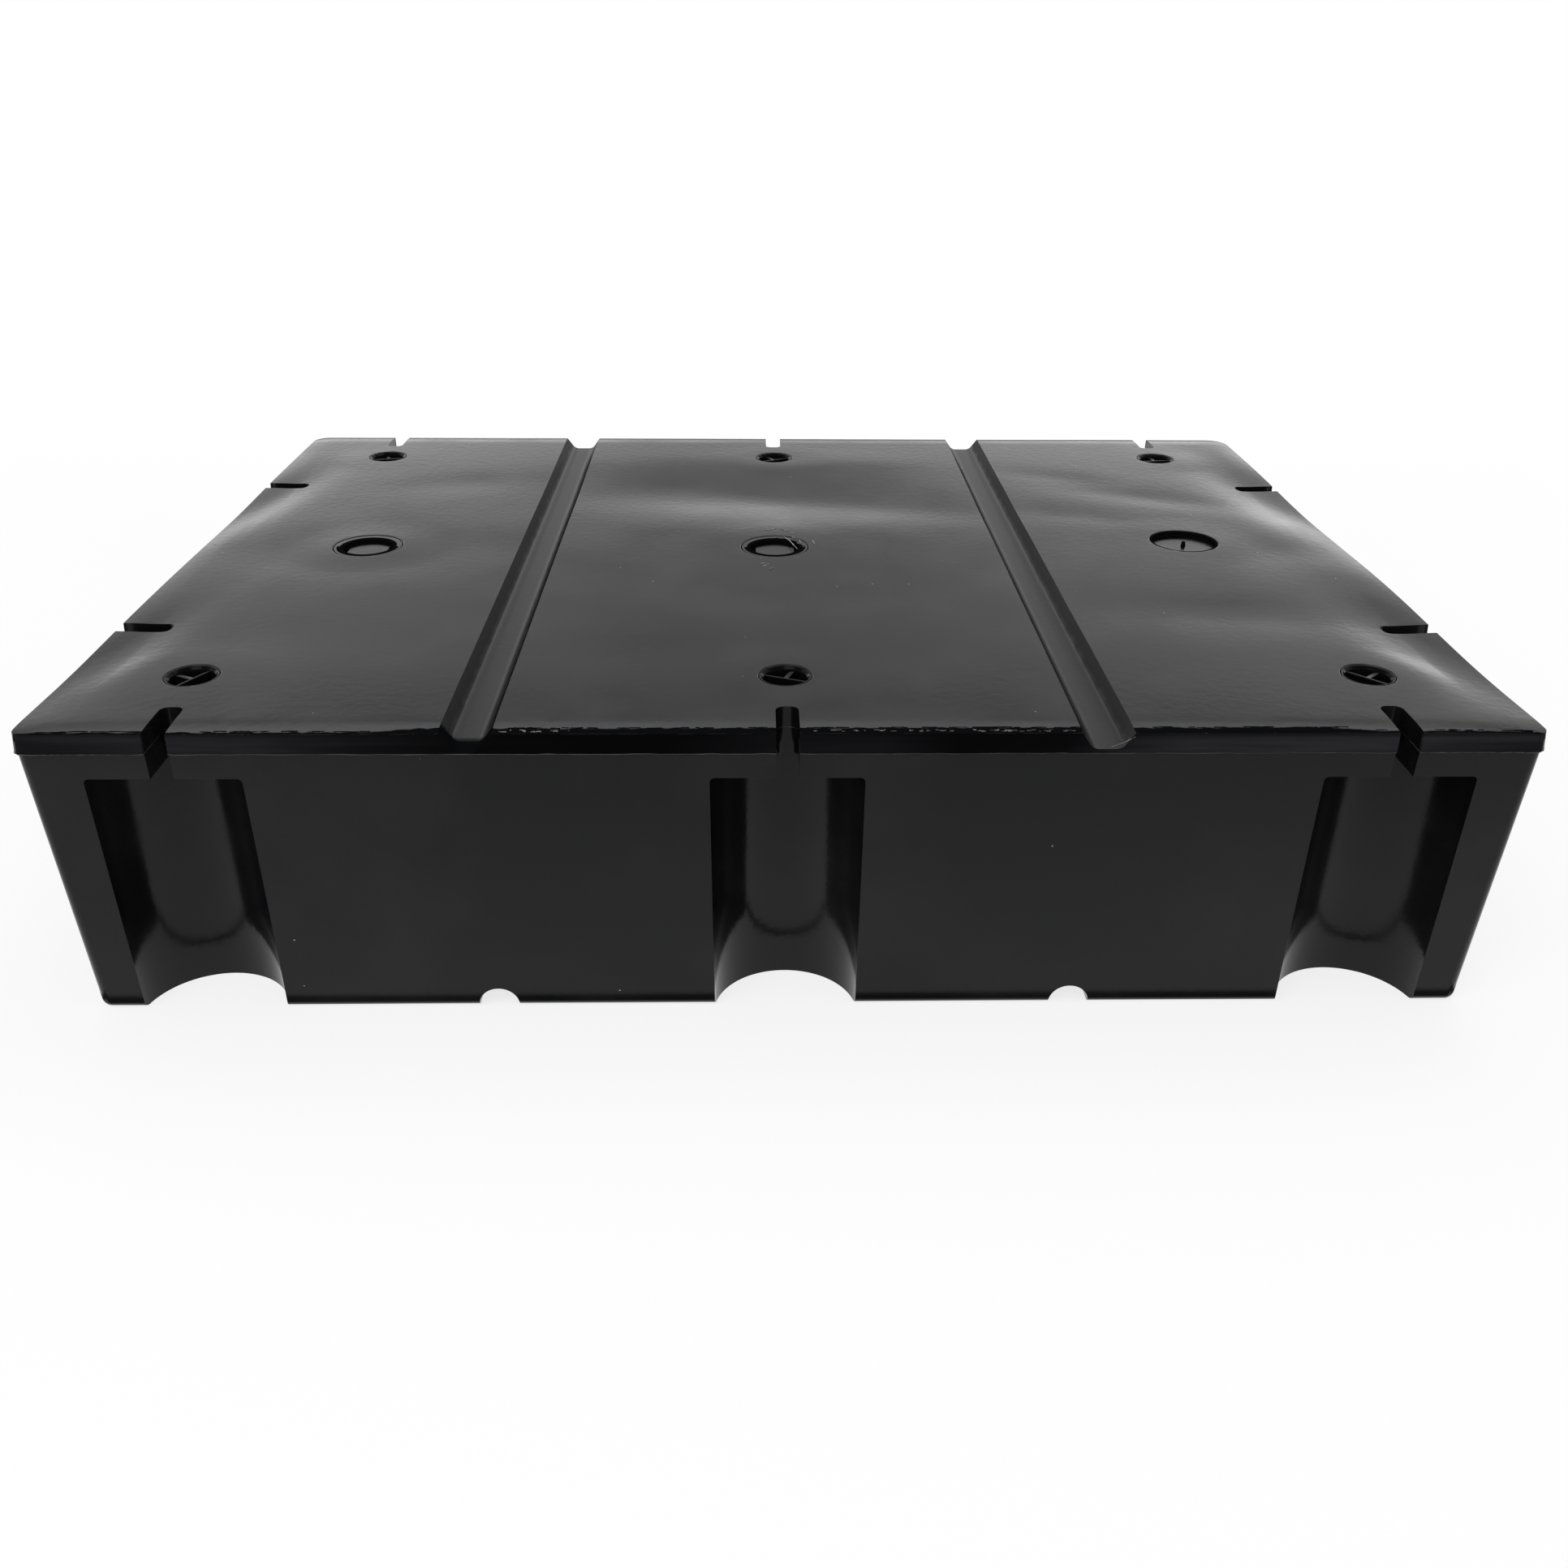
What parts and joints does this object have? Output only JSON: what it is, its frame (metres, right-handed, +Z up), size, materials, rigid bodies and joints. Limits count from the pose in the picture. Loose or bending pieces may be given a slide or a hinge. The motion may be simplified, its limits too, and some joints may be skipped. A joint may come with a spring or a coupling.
{
  "type": "dock float drum",
  "caption": "Flat box float with a slotted rim, half-round bolt pockets under the slots, grooves over the top and round plugs, made to carry a floating dock.",
  "frame": {"origin": "the middle of the drum's flat base", "axes": "+X along the long side, -Y towards the front, +Z up"},
  "size_m": [1.22, 0.914, 0.272],
  "materials": {
    "drum_shell": "satin black moulded polyethylene with soft sink marks and scuffs",
    "fill_plug": "satin black moulded plastic",
    "vent_plug": "satin black moulded plastic"
  },
  "bodies": {
    "root": {"drum_body": "drum_shell", "fill_plug_left": "fill_plug", "fill_plug_centre": "fill_plug", "fill_plug_right": "fill_plug", "vent_plug_front_left": "vent_plug", "vent_plug_front_centre": "vent_plug", "vent_plug_front_right": "vent_plug", "vent_plug_back_left": "vent_plug", "vent_plug_back_centre": "vent_plug", "vent_plug_back_right": "vent_plug"}
  },
  "joints": []
}
